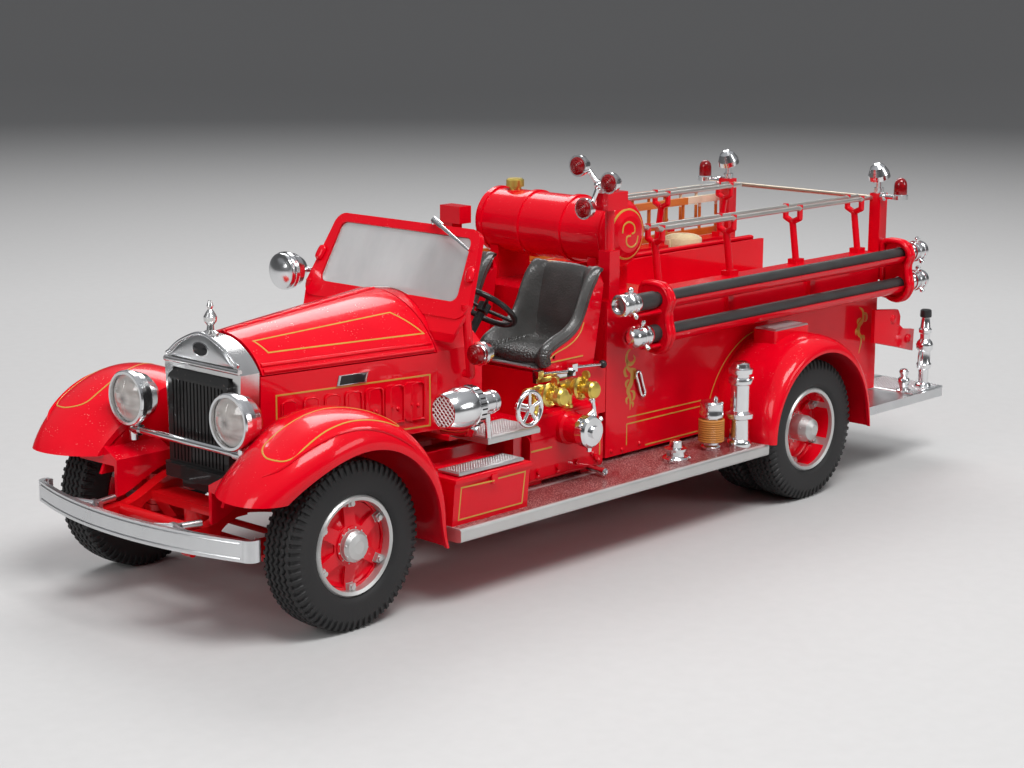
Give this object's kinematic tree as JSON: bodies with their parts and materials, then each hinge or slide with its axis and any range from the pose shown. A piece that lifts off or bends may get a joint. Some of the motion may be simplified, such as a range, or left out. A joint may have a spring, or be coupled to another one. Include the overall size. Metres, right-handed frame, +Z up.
{
  "type": "scale model fire engine",
  "caption": "Die-cast scale model of a 1930s open-cab pumper fire engine with steering front wheels and a folding hood.",
  "frame": {"origin": "on the ground under the middle of the model's bounding box", "axes": "+X forward towards the radiator, +Y to the model's left, +Z up"},
  "size_m": [0.282, 0.104, 0.1006],
  "materials": {
    "frame_red": "gloss enamel",
    "spring_red": "gloss enamel",
    "axle_red": "gloss enamel",
    "driveline": "satin",
    "engine": "cast",
    "bumper": "satin",
    "shell_chrome": "plated",
    "grille_black": "satin",
    "lamp_chrome": "plated",
    "lens": "ribbed",
    "hood_red": "gloss enamel",
    "body_red": "gloss enamel",
    "glass": "clear",
    "cab_black": "satin",
    "seat_black": "grained",
    "board": "ribbed mat with bright edge",
    "tank_red": "gloss enamel",
    "brass": "polished",
    "hose_black": "satin",
    "rail_silver": "satin",
    "wood": "varnished",
    "fitting_chrome": "plated",
    "step_plate": "tread plate",
    "hose_cloth": "woven",
    "wheel_red": "gloss enamel",
    "tyre": "rubber"
  },
  "bodies": {
    "chassis": {"chassis_frame": "frame_red", "leaf_springs": "spring_red", "front_axle": "axle_red", "rear_axle": "axle_red", "driveline": "driveline", "engine_block": "engine", "bumper": "bumper", "radiator_shell": "shell_chrome", "grille": "grille_black", "headlamps": "lamp_chrome", "headlamp_lenses": "lens", "hood_sides": "hood_red", "cowl": "body_red", "windscreen_frame": "body_red", "windscreen_glass": "glass", "steering_column": "cab_black", "cab_floor": "body_red", "seat_shells": "body_red", "seat_cushions": "seat_black", "running_boards": "board", "toolboxes": "body_red", "rear_body": "body_red", "bed_floor": "body_red", "booster_tank": "tank_red", "tank_cap": "brass", "suction_hoses": "hose_black", "hose_troughs": "body_red", "hand_rails": "rail_silver", "posts": "body_red", "ladders": "wood", "ladder_hangers": "fitting_chrome", "warning_lamps": "lamp_chrome", "deck_lamps": "lamp_chrome", "tail_step": "step_plate", "board_fittings": "fitting_chrome", "rear_fittings": "fitting_chrome", "siren": "fitting_chrome", "cowl_lamps": "lamp_chrome", "pump_housings": "body_red", "pump_valves": "brass", "pump_controls": "fitting_chrome", "hose_load": "hose_cloth", "fender_front_left": "body_red", "fender_front_right": "body_red", "fender_rear_left": "body_red", "fender_rear_right": "body_red"},
    "knuckle_left": {"knuckle_left": "axle_red"},
    "knuckle_right": {"knuckle_right": "axle_red"},
    "tie_rod": {"tie_rod": "axle_red"},
    "wheel_front_left": {"wheel_front_left": "wheel_red", "tyre_front_left": "tyre"},
    "wheel_front_right": {"wheel_front_right": "wheel_red", "tyre_front_right": "tyre"},
    "wheel_rear_left": {"wheel_rear_left": "wheel_red", "tyres_rear_left": "tyre"},
    "wheel_rear_right": {"wheel_rear_right": "wheel_red", "tyres_rear_right": "tyre"},
    "hood_left": {"hood_left": "hood_red"},
    "hood_right": {"hood_right": "hood_red"},
    "steering_wheel": {"steering_wheel": "cab_black"}
  },
  "joints": [
    {"name": "steer_left", "type": "hinge", "parent": "chassis", "child": "knuckle_left", "pos_m": [0.106, 0.03, 0.02], "axis": [0, 0, 1], "range_deg": [-15, 15]},
    {"name": "steer_right", "type": "hinge", "parent": "chassis", "child": "knuckle_right", "pos_m": [0.106, -0.03, 0.02], "axis": [0, 0, 1], "range_deg": [-15, 15]},
    {"name": "tie_rod_pivot", "type": "hinge", "parent": "knuckle_left", "child": "tie_rod", "pos_m": [0.097, 0.03, 0.0136], "axis": [0, 0, 1], "range_deg": [-15, 15]},
    {"name": "steering_wheel_turn", "type": "hinge", "parent": "chassis", "child": "steering_wheel", "pos_m": [0.035, 0.015, 0.063], "axis": [-0.6273, 0, 0.7788], "range_deg": [-90, 90]},
    {"name": "hood_left_hinge", "type": "hinge", "parent": "chassis", "child": "hood_left", "pos_m": [0.1081, 0, 0.064], "axis": [0.9954, 0, -0.0959], "range_deg": [0, 70]},
    {"name": "hood_right_hinge", "type": "hinge", "parent": "chassis", "child": "hood_right", "pos_m": [0.1081, 0, 0.064], "axis": [-0.9954, 0, 0.0959], "range_deg": [0, 70]},
    {"name": "roll_front_left", "type": "hinge", "parent": "knuckle_left", "child": "wheel_front_left", "pos_m": [0.106, 0.038, 0.02], "axis": [0, 1, 0], "continuous": true},
    {"name": "roll_rear_left", "type": "hinge", "parent": "chassis", "child": "wheel_rear_left", "pos_m": [-0.0635, 0.0436, 0.02], "axis": [0, 1, 0], "continuous": true},
    {"name": "roll_front_right", "type": "hinge", "parent": "knuckle_right", "child": "wheel_front_right", "pos_m": [0.106, -0.038, 0.02], "axis": [0, 1, 0], "continuous": true},
    {"name": "roll_rear_right", "type": "hinge", "parent": "chassis", "child": "wheel_rear_right", "pos_m": [-0.0635, -0.0436, 0.02], "axis": [0, 1, 0], "continuous": true}
  ],
  "couplings": [
    {"joint": "steer_right", "follows": "steer_left", "ratio": 1},
    {"joint": "tie_rod_pivot", "follows": "steer_left", "ratio": -1},
    {"joint": "steering_wheel_turn", "follows": "steer_left", "ratio": 6}
  ]
}
